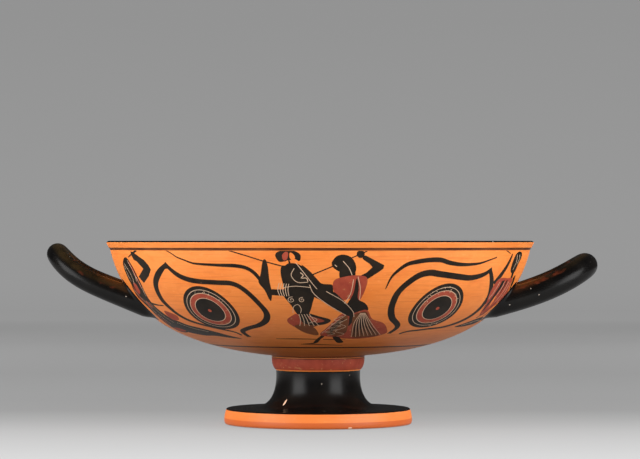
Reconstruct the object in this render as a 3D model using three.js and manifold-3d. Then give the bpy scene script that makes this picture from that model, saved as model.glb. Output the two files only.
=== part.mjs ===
import * as THREE from 'three';
import { mergeVertices } from 'three/addons/utils/BufferGeometryUtils.js';
import Module from 'manifold-3d';

// A Greek eye-cup, or kylix: a wide shallow bowl with a short lip, a stem on a flat foot plate,
// and two loop handles. Bowl, foot and handles were joined as damp clay and fired as one piece.
// Millimetres, +Z up. The floor is z = 0, the bowl's axis is the Z axis, and the handles point
// along X. Every profile point is (radius, height).

// Bowl
const rimRadius = 150;
const rimHeight = 128.5;
const lipHeight = 5.6;
const lipSlant = 1.5;
const lipStep = 0.9;
const rimThickness = 3.4;
const rimRound = new THREE.Vector2(2.2, 1.5);
const wallAtLip = 4.2;
const wallAtFloor = 5.6;
const floorHeight = 52.4;
const bowlBottom = new THREE.Vector2(33, 48.2);
const bowlBelly = new THREE.Vector2(103.7, 54.7);
const bowlShoulder = new THREE.Vector2(137.2, 79.8);

// Ring, stem and foot plate, which sit a little to the left of the bowl's axis
const ringRadius = 32.6;
const ringTop = 47.2;
const stemRadius = 29.6;
const stemTop = 37.7;
const footRadius = 66.2;
const footTopRadius = 64.4;
const footThickness = 10.9;
const stemFlareRadius = 46;
const footShift = -1.4;

// Conical hollow under the foot
const hollowRadius = 31;
const hollowHeight = 40;

// Handles: the left one rises a little higher and is slimmer than the right one
const handles = [
  { side: -1, reach: 192.2, tipHeight: 119.5, tipRadius: 7.3, lift: 0.7, curl: 6 },
  { side: 1, reach: 195, tipHeight: 111.3, tipRadius: 8.6, lift: 0.65, curl: 3 },
];
const handleHalfWidth = 30;
const handlePinch = 0.14;
const handleRootX = 108;
const handleWallX = 120;
const handleWallHeight = 84;
const handleRootRadius = 9;
const handleSquareness = 2.6;

// Fineness of the facets
const turns = 72;
const bowlSteps = 10;
const curveSteps = 5;
const handleSteps = 32;
const handleSides = 12;

const wasm = await Module();
wasm.setup();

const lipBottom = new THREE.Vector2(rimRadius - lipSlant, rimHeight - lipHeight + lipStep);
const bowlTop = new THREE.Vector2(rimRadius - lipSlant - lipStep, rimHeight - lipHeight);
const bowlCurve = new THREE.CubicBezierCurve(bowlBottom, bowlBelly, bowlShoulder, bowlTop);

// The wall seen from inside: the outer curve moved square to itself by a share of the wall's
// thickness, which grows from the lip down to the floor.
function bowlInside(share, steps) {
  const points = [];
  for (let i = steps; i >= 0; i--) {
    const along = i / steps;
    const wall = share * THREE.MathUtils.lerp(wallAtFloor, wallAtLip, along);
    const tangent = bowlCurve.getTangent(along);
    const inward = new THREE.Vector2(-tangent.y, tangent.x).multiplyScalar(wall);
    points.push(bowlCurve.getPoint(along).add(inward));
  }
  return points;
}

function cupProfile() {
  const rimEdge = new THREE.EllipseCurve(
    rimRadius - rimRound.x, rimHeight - rimRound.y, rimRound.x, rimRound.y, 0, Math.PI / 2,
  );
  const hollow = new THREE.CubicBezierCurve(
    new THREE.Vector2(0, hollowHeight),
    new THREE.Vector2(hollowRadius * 0.42, hollowHeight),
    new THREE.Vector2(hollowRadius * 0.6, hollowHeight * 0.35),
    new THREE.Vector2(hollowRadius, 0),
  );
  const footEdge = new THREE.CubicBezierCurve(
    new THREE.Vector2(footRadius - 1.6, 0),
    new THREE.Vector2(footRadius + 0.4, 0),
    new THREE.Vector2(footRadius + 0.2, footThickness * 0.45),
    new THREE.Vector2(footTopRadius + 0.3, footThickness - 0.8),
  );
  const stem = new THREE.CubicBezierCurve(
    new THREE.Vector2(stemFlareRadius, footThickness + 0.5),
    new THREE.Vector2(stemRadius + 1.4, footThickness + 1.1),
    new THREE.Vector2(stemRadius - 0.6, (stemTop + footThickness) / 2 + 1.7),
    new THREE.Vector2(stemRadius, stemTop),
  );
  const ring = new THREE.QuadraticBezierCurve(
    new THREE.Vector2(stemRadius, stemTop),
    new THREE.Vector2(ringRadius + 0.3, stemTop + 2.8),
    new THREE.Vector2(ringRadius, ringTop),
  );
  return [
    ...hollow.getPoints(curveSteps),
    ...footEdge.getPoints(curveSteps - 1),
    new THREE.Vector2(footTopRadius, footThickness),
    ...stem.getPoints(curveSteps),
    ...ring.getPoints(curveSteps - 1).slice(1),
    ...bowlCurve.getPoints(bowlSteps),
    lipBottom,
    ...rimEdge.getPoints(2),
    new THREE.Vector2(rimRadius - rimThickness + 0.8, rimHeight),
    new THREE.Vector2(rimRadius - rimThickness, rimHeight - 0.8),
    ...bowlInside(1, bowlSteps),
    new THREE.Vector2(0, floorHeight),
  ];
}

// Solid of revolution about the Z axis.
function turned(profile) {
  const geometry = new THREE.LatheGeometry(profile, turns);
  geometry.rotateX(Math.PI / 2);
  return geometry;
}

// Everything below the bowl moves sideways, and the move dies away under the bowl's floor.
function shiftFoot(geometry) {
  const position = geometry.getAttribute('position');
  for (let i = 0; i < position.count; i++) {
    const share = 1 - THREE.MathUtils.smoothstep(position.getZ(i), ringTop, floorHeight);
    position.setX(i, position.getX(i) + footShift * share);
  }
  return geometry;
}

// Centre line of a handle. In plan it is a superellipse, drawn in at the roots. From the side it
// runs level inside the bowl's wall, leaves it at a low slope and turns upwards to the tip.
function handleLine({ side, reach, tipHeight, tipRadius, lift, curl }) {
  const tipX = reach - tipRadius;
  const points = [];
  for (let i = 0; i <= handleSteps; i++) {
    const angle = (i / handleSteps - 0.5) * Math.PI;
    const out = Math.abs(Math.cos(angle)) ** (2 / handleSquareness);
    const across = Math.sign(angle) * Math.abs(Math.sin(angle)) ** (2 / handleSquareness);
    const x = THREE.MathUtils.lerp(handleRootX, tipX, out);
    const climb = Math.max(0, (x - handleWallX) / (tipX - handleWallX));
    const y = across * handleHalfWidth * (1 - handlePinch * (1 - out));
    const rise = lift * climb + (1 - lift) * climb ** curl;
    const z = handleWallHeight + (tipHeight - handleWallHeight) * rise;
    points.push(new THREE.Vector3(side * x, side * y, z));
  }
  return new THREE.CatmullRomCurve3(points);
}

// A round bar along the centre line, thicker towards its roots, closed at both ends.
function handleBar(handle) {
  const line = handleLine(handle);
  const frames = line.computeFrenetFrames(handleSteps, false);
  const tipX = handle.reach - handle.tipRadius;
  const vertices = [];
  const faces = [];
  for (let i = 0; i <= handleSteps; i++) {
    const centre = line.getPointAt(i / handleSteps);
    const inness = Math.max(0, (tipX - Math.abs(centre.x)) / (tipX - handleRootX));
    const radius = THREE.MathUtils.lerp(handle.tipRadius, handleRootRadius, inness ** 1.5);
    for (let k = 0; k < handleSides; k++) {
      const angle = (k / handleSides) * 2 * Math.PI;
      const point = centre.clone();
      point.addScaledVector(frames.normals[i], radius * Math.cos(angle));
      point.addScaledVector(frames.binormals[i], radius * Math.sin(angle));
      vertices.push(...point.toArray());
    }
  }
  for (let i = 0; i < handleSteps; i++) {
    for (let k = 0; k < handleSides; k++) {
      const next = (k + 1) % handleSides;
      const here = i * handleSides;
      const there = here + handleSides;
      faces.push(here + k, here + next, there + next);
      faces.push(here + k, there + next, there + k);
    }
  }
  const last = handleSteps * handleSides;
  for (let k = 1; k < handleSides - 1; k++) {
    faces.push(0, k + 1, k);
    faces.push(last, last + k, last + k + 1);
  }
  const geometry = new THREE.BufferGeometry();
  geometry.setAttribute('position', new THREE.Float32BufferAttribute(vertices, 3));
  geometry.setIndex(faces);
  return geometry;
}

function toSolid(geometry) {
  geometry.deleteAttribute('normal');
  geometry.deleteAttribute('uv');
  const merged = mergeVertices(geometry, 1e-3);
  return new wasm.Manifold(new wasm.Mesh({
    numProp: 3,
    vertProperties: new Float32Array(merged.getAttribute('position').array),
    triVerts: new Uint32Array(merged.index.array),
  }));
}

function toGeometry(solid) {
  const mesh = solid.getMesh();
  const geometry = new THREE.BufferGeometry();
  geometry.setAttribute('position', new THREE.BufferAttribute(mesh.vertProperties, 3));
  geometry.setIndex(new THREE.BufferAttribute(mesh.triVerts, 1));
  geometry.computeVertexNormals();
  return geometry;
}

// The handle roots are cut back to the middle of the bowl's wall, so none shows inside the bowl.
function buildCup() {
  const insideWall = toSolid(turned([
    new THREE.Vector2(0, floorHeight),
    ...bowlInside(0.5, bowlSteps).reverse(),
    new THREE.Vector2(bowlTop.x, 2 * rimHeight),
    new THREE.Vector2(0, 2 * rimHeight),
  ]));
  let cup = toSolid(shiftFoot(turned(cupProfile())));
  for (const handle of handles) {
    cup = cup.add(toSolid(handleBar(handle)).subtract(insideWall));
  }
  return toGeometry(cup);
}

const firedClay = new THREE.MeshStandardMaterial({ color: 0xd9803c, roughness: 0.45, metalness: 0 });
const kylix = new THREE.Mesh(buildCup(), firedClay);
kylix.name = 'kylix';

const group = new THREE.Group();
group.add(kylix);

export default group;
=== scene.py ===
import math
import bmesh
import bpy
import numpy as np
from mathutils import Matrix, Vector
from mathutils.geometry import delaunay_2d_cdt
from mathutils.kdtree import KDTree


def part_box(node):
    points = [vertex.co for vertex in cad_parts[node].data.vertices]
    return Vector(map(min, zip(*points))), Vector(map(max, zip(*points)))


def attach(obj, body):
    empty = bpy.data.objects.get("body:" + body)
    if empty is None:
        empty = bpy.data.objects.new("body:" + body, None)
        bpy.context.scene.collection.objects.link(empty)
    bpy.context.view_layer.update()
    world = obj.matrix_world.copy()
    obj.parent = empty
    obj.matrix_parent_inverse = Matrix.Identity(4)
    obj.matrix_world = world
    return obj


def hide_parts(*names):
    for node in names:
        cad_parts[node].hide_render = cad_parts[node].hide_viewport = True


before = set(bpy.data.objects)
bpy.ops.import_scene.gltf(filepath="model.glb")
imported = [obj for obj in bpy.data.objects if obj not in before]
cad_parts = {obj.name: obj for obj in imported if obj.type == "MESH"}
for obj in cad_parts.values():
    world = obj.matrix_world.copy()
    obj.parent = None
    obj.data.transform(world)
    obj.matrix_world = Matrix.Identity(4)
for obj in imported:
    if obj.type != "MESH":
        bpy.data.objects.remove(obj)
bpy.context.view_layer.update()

# Greek eye cup: one fired piece, painted in black gloss and added red on orange clay.
# Work is in millimetres until a mesh is made. Azimuth 0 is the front (-Y), 90 the right handle (+X).
cupLow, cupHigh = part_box("kylix")
mm = 0.001
rimRadius = (cupHigh[1] - cupLow[1]) / 2 / mm
rimHeight = cupHigh[2] / mm
rng = np.random.default_rng(7)

# the slots of the cup's six finishes, in the order of its materials
clay, gloss, red, incised, wash, paint = range(6)

turned = {
    "columns": 288,
    "lipHeight": 5.6,
    "lipSlant": 1.5,
    "lipStep": 0.9,
    "rimThickness": 3.4,
    "innerRound": 0.8,
    "rimRound": (2.2, 1.5),
    "clayOnRim": 15,  # degrees up the rim's outer round before the black begins
    "wallAtLip": 4.2,
    "wallAtFloor": 5.6,
    "bowlBottom": (33, 48.2),
    "bowlBelly": (103.7, 54.7),
    "bowlShoulder": (137.2, 79.8),
    "floorHeight": 52.4,
    "ringRadius": 32.6,
    "ringTop": 47.2,
    "ringBulge": (32.9, 40.5),
    "stemRadius": 29.6,
    "stemTop": 37.7,
    "stemCurve": [(46, 11.4), (31, 12), (29, 26)],
    "footShoulder": [(63.2, 11.0), (64.2, 11.0), (64.5, 10.7), (64.7, 10.1)],
    "footEdge": [(64.6, 0), (66.6, 0), (66.4, 4.905), (64.7, 10.1)],
    "hollow": [(0, 40), (13.02, 40), (18.6, 14), (31, 0)],
    "footShift": -1.4,
    "edgeStep": 0.25,  # rows this close to a corner keep it crisp
    "insideRows": 40,
    "tondoRadius": 24,
}


def smoothStep(value, low, high):
    # 3t^2 - 2t^3 of the value's place between low and high
    t = np.clip((value - low) / (high - low), 0, 1)
    return t * t * (3 - 2 * t)


def bezier(points, t):
    # sum of the control points, each times its Bernstein weight at t
    points = np.asarray(points, float)
    degree = len(points) - 1
    weights = [math.comb(degree, i) * t**i * (1 - t) ** (degree - i) for i in range(degree + 1)]
    return sum(w[:, None] * p for w, p in zip(weights, points))


def arcLength(points):
    # running sum of the distances between neighbours
    return np.concatenate(([0], np.cumsum(np.linalg.norm(np.diff(points, axis=0), axis=1))))


def resample(points, places):
    # the points at the given places along their running length
    along = arcLength(points)
    return np.column_stack([np.interp(places, along, points[:, i]) for i in range(points.shape[1])])


def placeOnCup(radius, height, azimuth):
    # (r sin a + shift, -r cos a, z), in mm: the foot and stem stand a little off the bowl's axis
    angle = np.radians(azimuth)
    shift = turned["footShift"] * (1 - smoothStep(height, turned["ringTop"], turned["floorHeight"]))
    return np.column_stack((radius * np.sin(angle) + shift, -radius * np.cos(angle), height + 0 * radius))


def turnedNormal(normal, azimuth):
    # a profile's (radial, upward) normal turned to its azimuth
    angle = np.radians(azimuth)
    return np.column_stack((normal[:, 0] * np.sin(angle), -normal[:, 0] * np.cos(angle), normal[:, 1]))


# the outer wall, from the notch under the lip down to the ring: four-point curve, measured by its length
bowlTop = (rimRadius - turned["lipSlant"] - turned["lipStep"], rimHeight - turned["lipHeight"])
wallCurve = bezier(
    [bowlTop, turned["bowlShoulder"], turned["bowlBelly"], turned["bowlBottom"]], np.linspace(0, 1, 1200)
)
wallAlong = arcLength(wallCurve)
wallLength = wallAlong[-1]
upward = np.argsort(wallCurve[:, 1])  # the curve's points in rising order, for finding a radius by height
wallSlope = np.gradient(wallCurve, wallAlong, axis=0)
wallSlope /= np.linalg.norm(wallSlope, axis=1)[:, None]


def wallPoint(down):
    # (radius, height) at that many millimetres down the wall
    return np.interp(down, wallAlong, wallCurve[:, 0]), np.interp(down, wallAlong, wallCurve[:, 1])


def wallNormal(down):
    # the slope (dr, dz) turned a quarter: (-dz, dr) points out of the clay
    return np.column_stack(
        (-np.interp(down, wallAlong, wallSlope[:, 1]), np.interp(down, wallAlong, wallSlope[:, 0]))
    )


# painting: every shape is a closed outline on the unrolled wall, kept in painting order
painting = {
    "degree": 2.18,  # width of a degree of azimuth on the unrolled wall, mm
    "lineStep": 1.1,
    "seam": 90.0,  # the unrolled wall is cut under the right handle
    "rowStep": 2.45,
    "washWidth": 0.9,
    "groundLine": 101.4,
    "groundWidth": 2.8,
    "clearance": 0.75,  # wall points nearer than this to a painted line are left out
}
shapes = []


def smoothLine(points, closed=False):
    # Catmull-Rom: each span is a cubic through its two ends with slopes (next - previous) / 2
    points = np.asarray(points, float)
    if closed:
        ring = np.vstack((points[-1:], points, points[:2]))
    else:
        ring = np.vstack((2 * points[0] - points[1], points, 2 * points[-1] - points[-2]))
    t = np.linspace(0, 1, 12, endpoint=False)[:, None]
    a, b, c, d = ring[:-3, None], ring[1:-2, None], ring[2:-1, None], ring[3:, None]
    square, cube = 2 * a - 5 * b + 4 * c - d, 3 * b - a - 3 * c + d
    spans = 0.5 * (2 * b + (c - a) * t + square * t**2 + cube * t**3)
    line = np.vstack((spans.reshape(-1, 2), ring[-2:-1]))
    length = arcLength(line)[-1]
    count = max(3, int(round(length / painting["lineStep"])))
    line = resample(line, np.linspace(0, length, count + 1))
    return line[:-1] if closed else line


def onWall(outline, spot):
    # from mm across and down around a spot to degrees and mm down; a mirrored spot turns across round
    azimuth, down, mirror = spot
    height = np.clip(down + outline[:, 1], painting["washWidth"] + 0.15, wallLength - 2)
    radius = wallPoint(height)[0]
    across = azimuth + mirror * np.degrees(outline[:, 0] / radius)
    return np.column_stack((across * painting["degree"], height))


def area(spot, slot, points, rounded=True):
    # a closed outline filled with one finish
    outline = smoothLine(points, closed=True) if rounded else np.asarray(points, float)
    shapes.append((slot, onWall(outline, spot)))


def stroke(spot, slot, points, widths):
    # a brush line: its middle line offset to both sides by half the width there
    line = smoothLine(points)
    slope = np.gradient(line, axis=0)
    slope /= np.linalg.norm(slope, axis=1)[:, None] + 1e-9
    share = np.linspace(0, 1, len(line))
    half = np.interp(share, np.linspace(0, 1, len(widths)), widths)[:, None] / 2
    side = np.column_stack((-slope[:, 1], slope[:, 0])) * half
    shapes.append((slot, onWall(np.vstack((line + side, (line - side)[::-1])), spot)))


def disc(spot, slot, centre, radius, flatten=1.0):
    # a circle about the centre
    count = max(8, int(2 * math.pi * radius / painting["lineStep"]))
    turn = np.linspace(0, 2 * math.pi, count, endpoint=False)
    outline = np.column_stack((radius * np.cos(turn), radius * flatten * np.sin(turn))) + centre
    shapes.append((slot, onWall(outline, spot)))


def scratches(spot, lines, width=0.45):
    # incised lines: pale clay scratched through the gloss
    for points in lines:
        stroke(spot, incised, points, [width, width])


# the two eyes, each drawn from its iris, with across growing toward the middle of the side
eyes = {
    "left": {
        "azimuth": -36,
        "down": 47.4,
        "mirror": 1,
        "brow": [(-22, -47), (-16.5, -44.5), (-12, -42), (-6, -40), (0, -38), (6, -37.2), (20, -36.5),
                 (34, -36), (42, -34), (47, -29), (50, -20), (50, -11)],
        "lid": [(-24, -36.5), (-19.5, -32.5), (-15, -29.3), (-10, -27), (-4, -25.4), (4, -24.4),
                (17, -23.8), (28, -23), (35, -18), (40, -9), (42, 1), (38, 9), (30, 15), (20, 19),
                (12.5, 23.8), (12.3, 32.3)],
        "under": [(-24, -36.5), (-32, -31.5), (-38, -26.5), (-41.5, -22), (-43, -16.5), (-42.5, -9),
                  (-39.5, -3), (-35, 4), (-28, 10.5), (-19, 15), (-9.4, 18.8), (4.7, 24.6), (8.1, 29.8)],
        "corner": [(-25.6, -37.2), (-23.6, -38.6), (-21.6, -36.4), (-22.2, -33.8), (-26.4, -33.4)],
        "browWidths": [0.7, 1.1, 1.8, 2.6, 2.8, 1.6],
        "lidWidths": [2.8, 3.8, 4.0, 3.6, 3.6, 3.8, 4.0, 4.2, 4.0, 3.8, 3.6, 3.4],
        "underWidths": [3.0, 5.0, 5.4, 5.2, 4.2, 3.2, 2.7, 2.4, 2.2, 1.9],
    },
    "right": {
        "azimuth": 38.3,
        "down": 45.4,
        "mirror": -1,
        "brow": [(-41.5, -39.7), (-31.5, -37.3), (-24, -35.6), (-15, -34.8), (-5, -34.8), (5, -36),
                 (13, -38), (22, -38), (30, -37), (38, -35), (44, -30), (47, -25), (48, -17)],
        "lid": [(-37, -30.5), (-33.5, -28.3), (-28.5, -26.6), (-22, -25.4), (-15.5, -25), (-9, -25.6),
                (-2, -26.4), (11, -28), (19, -29), (27, -27), (34, -21), (38, -14), (38, -6), (36, 1),
                (31, 9), (21.3, 18.6), (21.6, 28.8)],
        "under": [(-37, -30.5), (-42, -24.5), (-46.5, -17), (-49, -10.5), (-49, -5), (-47.5, 1.3),
                  (-43, 8.3), (-36, 14.2), (-29, 18), (-20, 21.4), (-7, 23.2), (0.3, 24.5), (8.7, 26.1),
                  (13.1, 29.5)],
        "corner": [(-38.4, -32.6), (-35.4, -31.2), (-34.6, -28.6), (-37.6, -27.6), (-40.8, -27.2)],
        "browWidths": [0.8, 1.4, 2.2, 3.0, 3.4, 3.2, 2.4, 0.6],
        "lidWidths": [3.0, 4.0, 4.4, 4.4, 4.6, 4.8, 4.8, 4.4, 3.8, 3.0],
        "underWidths": [3.2, 5.0, 5.2, 4.4, 3.6, 2.8, 2.4, 2.3, 2.1],
    },
    "irisRadius": 21,
}


def eyeSpot(name, turn=0):
    # where an eye is drawn from: its iris, turned round the cup
    eye = eyes[name]
    return eye["azimuth"] + turn, eye["down"], eye["mirror"]


def paintEye(name, turn):
    # brow, lower lid, upper lid with the tear duct, their outer corner, then the iris from the outside in
    eye = eyes[name]
    spot = eyeSpot(name, turn)
    stroke(spot, paint, eye["brow"], eye["browWidths"])
    stroke(spot, paint, eye["under"], eye["underWidths"])
    stroke(spot, paint, eye["lid"], eye["lidWidths"])
    area(spot, paint, eye["corner"], rounded=False)
    rings = [(1, paint), (0.87, incised), (0.848, paint), (0.74, incised), (0.715, red), (0.545, incised),
             (0.522, paint), (0.07, red)]
    for share, slot in rings:
        disc(spot, slot, (0, 0), eyes["irisRadius"] * share)


def paintWarrior(spot):
    # a striding spearman: back leg and foot, body, crested helmet, greave with spirals, cloak at the knee
    stroke(spot, paint, [(-18, 31), (-27, 31), (-35, 30.5)], [6.5, 5, 4.4])
    area(spot, paint, [(-38, 8), (-36, 7), (-34.5, 12), (-33.5, 22), (-32, 31), (-32.5, 38), (-34, 36),
                       (-37, 29), (-41, 23), (-39.5, 17)])
    area(spot, paint, [(-24, 10.5), (-18, 8.5), (-12, 10.5), (-5, 17), (-1.5, 23), (-4, 29), (-12, 31),
                       (-22, 30), (-25, 22), (-26, 14)])
    stroke(spot, paint, [(-20.5, 10), (-21, 6), (-20, 2)], [5, 5, 6])
    area(spot, clay, [(-25, 10), (-21, 7.4), (-15, 7.8), (-11.6, 11.4), (-15, 9.9), (-20.4, 9.4),
                      (-23.4, 11.2)])
    area(spot, paint, [(-29.6, 4), (-27, 1.2), (-21, 0.4), (-16, 1.4), (-12.8, 4), (-13.4, 8), (-16.5, 6.6),
                       (-20, 6), (-23, 8), (-27, 8.4)])
    area(spot, red, [(-25, 4), (-23, 1.8), (-21, 2.2), (-21.5, 6.4), (-24, 7.6)])
    area(spot, clay, [(-19.8, 2.2), (-17.4, 3.4), (-16.4, 6), (-18.4, 7.4), (-20, 5.4)])
    stroke(spot, paint, [(-20.8, 5), (-20.4, 8), (-19.6, 10.4)], [1.2, 1, 1.4])
    area(spot, paint, [(-25, 30), (-14, 31), (-4, 30), (-5, 40), (-7.5, 50), (-11, 51), (-15, 50),
                       (-19, 42), (-24, 34)])
    area(spot, paint, [(-3.6, 20), (1, 24), (8, 25), (8.6, 30), (10, 33.4), (2, 34), (-6, 32)])
    area(spot, wash, [(-14, 55), (-4, 56), (0, 60), (-5, 64.5), (-12, 63.5)])
    area(spot, red, [(-15, 50), (-19, 52), (-22, 56), (-20, 61), (-14, 66), (-12, 60)])
    area(spot, paint, [(-14, 49), (-8, 49), (-1, 52), (7, 56), (3, 61), (-6, 62), (-12, 58)])
    area(spot, red, [(-8, 52), (-4, 53), (3, 57), (-2, 59), (-6, 57)])
    area(spot, wash, [(-17, 63), (-11, 61), (-4, 65), (-1, 74), (-3, 76), (-9, 73), (-14, 68)])
    folds = [[(-14 + 1.7 * i, 50), (-13 + 2.2 * i, 56), (-13.5 + 3.2 * i, 63)] for i in range(5)]
    scratches(spot, folds + [[(-7, 52), (-2, 56), (-8, 60)]])
    scratches(spot, [[(-27 + 1.6 * i, 23.5 + 0.2 * i), (-28 + 1.7 * i, 29),
                     (-26.5 + 1.5 * i, 34)] for i in range(5)])
    scratches(spot, [[(-16, 9), (-10, 17), (-3, 27), (3, 35)], [(-17, 13), (-19, 18), (-15, 23), (-8, 23)],
                     [(-24, 27), (-16, 26), (-6, 27)]])
    for centre, size in (((-19, 37), 2.6), ((-12, 37), 2.2)):
        turn = np.linspace(0.4, 3.6 * math.pi, 16)
        reach = size * turn / 11
        scratches(spot, [np.column_stack((reach * np.cos(turn), reach * np.sin(turn))) + centre])
    scratches(spot, [[(-18, 49), (-17.5, 43), (-14.5, 41), (-12.5, 45), (-13, 49)]])
    scratches(spot, [[(-13, 16), (-11, 18), (-12.5, 20), (-9, 20), (-8, 22.5)]], 0.6)
    stroke(spot, paint, [(7, 64), (4.6, 70), (1.4, 77.7), (-1, 82.5), (-3, 88.5)], [2.4, 3.2, 2.6, 2.6, 3])
    stroke(spot, paint, [(-2.4, 87.5), (-5, 91), (-11.5, 92.3)], [2.6, 1.8, 0.8])
    stroke(spot, wash, [(-30, 82.2), (-14, 82.2), (-2, 82.8)], [0.8, 1.8, 1.2])
    stroke(spot, wash, [(2, 82.8), (8, 83), (17, 82.8)], [1.2, 1.8, 0.8])
    stroke(spot, wash, [(-13, 92.8), (-2, 93.4), (7, 94.4), (15, 95.5)], [0.8, 1.8, 1.6, 0.8])
    stroke(spot, paint, [(-62, 0.8), (-50, 4.2), (-38, 7.9), (-25, 11.5)], [0.8, 0.8, 0.9])
    stroke(spot, paint, [(-6, 18), (4, 13.5), (12, 10)], [0.9, 0.8])


def paintDraped(spot):
    # a draped runner falling back: head, raised arm, red chest, long front leg, spread skirt with folds
    area(spot, paint, [(30, 4.2), (35.3, 7), (42.6, 10.9), (42, 13.2), (39.5, 15.2), (34.6, 18.6),
                       (31, 21), (26, 22), (19, 21.4), (25, 19), (30.4, 16.2), (34.6, 12.2), (32.4, 9.8),
                       (28.4, 7), (27, 4.4)], rounded=False)
    disc(spot, paint, (26.6, 3.2), 2.7)
    area(spot, paint, [(13.4, 13.6), (22, 13), (22.4, 20), (13.6, 21)])
    stroke(spot, paint, [(31, 1.2), (18, 7), (9, 11)], [0.8, 0.8])
    area(spot, paint, [(8, 8), (11, 4.5), (16, 3.6), (21, 6), (23.5, 11), (23, 16), (19, 17), (14, 16),
                       (9, 13), (7.5, 10)])
    area(spot, red, [(9, 22), (16, 19), (25, 18), (31, 20), (30, 28), (25.5, 38), (20, 36), (14, 37),
                     (9, 30)])
    area(spot, paint, [(24, 20), (25.5, 27), (25, 36), (30, 40), (32, 46), (26, 51), (21, 53), (16, 45),
                       (19, 38), (22, 31)])
    area(spot, red, [(14, 50), (22, 49), (31, 46), (35, 55), (43, 60), (46, 68), (45, 74), (34, 80),
                     (21, 82), (8, 79), (0, 75), (4, 66), (10, 56)])
    area(spot, paint, [(-6, 27.5), (2, 29.5), (9, 30.5), (15, 37), (20, 44), (22.5, 52), (17, 51), (8, 44),
                       (0, 37), (-6, 33)])
    stroke(spot, paint, [(21.5, 50), (20.5, 57), (19, 63)], [4, 3, 0.8])
    area(spot, paint, [(8.4, 78), (12.4, 78.6), (14, 83), (15.6, 88.6), (12, 90), (9.6, 84.5)])
    area(spot, wash, [(22, 52), (26, 48.6), (31, 48), (33.4, 56), (36, 66), (40, 76), (33, 79),
                      (22, 79.6), (21, 66)])
    area(spot, wash, [(14, 53), (18, 52), (18.6, 60), (17, 72), (11, 77), (4, 73), (8, 64)])
    folds = [[(27 + 0.4 * i, 49), (22.6 + 1.7 * i, 60), (21 + 2.9 * i, 79 - 0.5 * i)] for i in range(8)]
    for i in range(7):
        stroke(spot, paint, [(27 + 0.4 * i, 51), (23.5 + 1.7 * i, 62), (22.6 + 2.9 * i, 77 - 0.5 * i)],
                             [0.4, 1.0, 0.4])
    for i in range(3):
        stroke(spot, paint, [(16 - 1.6 * i, 55 + i), (11 - 2 * i, 64 + i), (6 + 1.2 * i, 73 + i)],
                             [0.6, 1.2, 0.6])
    scratches(spot, folds, 0.36)
    scratches(spot, [[(15, 52), (9, 56), (15, 58), (7, 61), (14, 63), (5, 66), (12, 68), (3, 71),
                     (10, 73), (5, 76)], [(18, 55), (13, 60), (17, 64), (10, 70), (16, 74), (11, 78)],
                     [(17, 51), (9, 60), (1, 73)]], 0.36)
    scratches(spot, [[(-7, 25), (-4, 32), (5, 41), (17, 51)], [(4, 30), (15, 38), (21.5, 47), (22.5, 53)],
                     [(15, 8), (19, 13), (21, 18)], [(25, 19), (26.5, 28), (26, 37)], [(22, 21), (20, 32),
                     (16, 40)], [(11, 12), (9.5, 10.5)]])


def paintShieldBearer(spot):
    # a second spearman beside the left handle: bent arm, shield seen edge on, legs along the wall
    stroke(spot, paint, [(22, 0.9), (15.5, 3), (6.7, 5.8)], [1.6, 1.2, 0.8])
    area(spot, paint, [(12.9, 1.5), (17.6, 2.6), (23.5, 5.3), (28.8, 7.7), (32.4, 11.5), (33.2, 14.6),
                       (27.6, 19.2), (16, 24.8), (12.4, 20), (24, 14), (18.4, 8.8), (14.4, 7.4),
                       (12.6, 4)], rounded=False)
    area(spot, paint, [(3, 6), (-5, 8), (-9, 13), (-9.6, 20), (-9.4, 26), (-12, 31), (-13.5, 36),
                       (-10, 41), (-7.5, 47), (-8.5, 54), (-10, 62), (-10.5, 69), (-8, 75), (3, 76),
                       (12, 73), (17, 68), (15, 61), (12, 55), (9, 49), (7.3, 44), (7.4, 38), (9.2, 31),
                       (10.7, 25), (10.3, 18), (8.6, 12)])
    area(spot, paint, [(10, 57), (18, 59.5), (24, 64), (33, 67.5), (42, 72), (50, 79), (54, 83.5),
                       (45, 82), (36, 79.5), (24, 79.5), (13, 77), (4, 73), (2, 66)])
    area(spot, red, [(-3, 25), (1, 26), (1.4, 31), (-3, 34), (-6, 33), (-5.6, 29)])
    area(spot, red, [(-1, 39.5), (2, 43), (0.5, 47), (-2.6, 43)])
    area(spot, red, [(15.5, 49), (21.3, 50.2), (26, 53.7), (22, 58.3), (14, 58.5), (12.6, 54)])
    area(spot, red, [(-6, 69), (4, 70), (8, 73), (0, 75), (-7, 73.5)])
    stroke(spot, red, [(4.6, 9), (7.4, 15), (8, 22), (7, 29)], [0.8, 1.7, 1.5, 0.8])
    stroke(spot, red, [(-8, 28), (-9.4, 34), (-5.6, 41)], [1.2, 2.2, 1.2])
    stroke(spot, red, [(-5, 52), (-5.6, 60), (-5, 66)], [1, 2.4, 1.2])
    stroke(spot, paint, [(5.5, 42), (14.6, 43.4), (22, 43.6)], [2.2, 1.4, 0.9])
    scratches(spot, [[(-5, 10), (-1, 15.5), (0.5, 21), (-2.6, 26)], [(3, 8), (6, 13.6), (7, 19.4),
                     (5.2, 24)], [(-10, 31), (-6, 37), (-3, 43), (-3, 52)], [(-1, 53), (-0.5, 58),
                     (0.4, 64)], [(3, 41), (5, 52), (9, 62)], [(14, 62), (24, 68), (36, 73)], [(-7, 12),
                     (-6, 20), (-5, 24)], [(8, 20), (8, 28), (6, 36)]], 0.52)


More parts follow.
